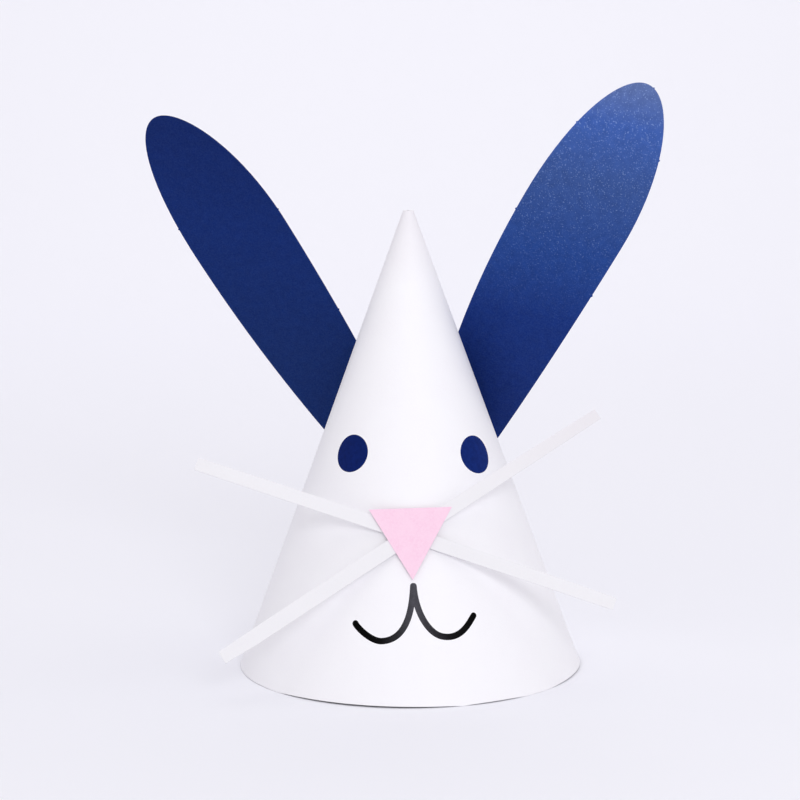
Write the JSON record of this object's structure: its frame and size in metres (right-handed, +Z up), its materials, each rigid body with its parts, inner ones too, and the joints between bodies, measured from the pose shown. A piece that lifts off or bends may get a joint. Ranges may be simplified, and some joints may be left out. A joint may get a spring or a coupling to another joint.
{
  "type": "paper rabbit party hat",
  "caption": "Cone-shaped party hat rolled from white card, with a rabbit's printed eyes and mouth, dark blue card ears, card whiskers and a pink nose.",
  "frame": {"origin": "centre of the hem circle, on the surface that the hat stands on", "axes": "+Z up the cone's axis to its tip, -Y out of the rabbit's face, +X to the right of someone who looks at the face"},
  "size_m": [0.1762, 0.1204, 0.2054],
  "materials": {
    "white_card": "satin",
    "blue_card": "satin",
    "white_paper": "matte",
    "pink_card": "matte"
  },
  "bodies": {
    "root": {"cone": "white_card", "ear_left": "blue_card", "ear_right": "blue_card", "whisker_under": "white_paper", "whisker_over": "white_paper", "nose": "pink_card"}
  },
  "joints": []
}
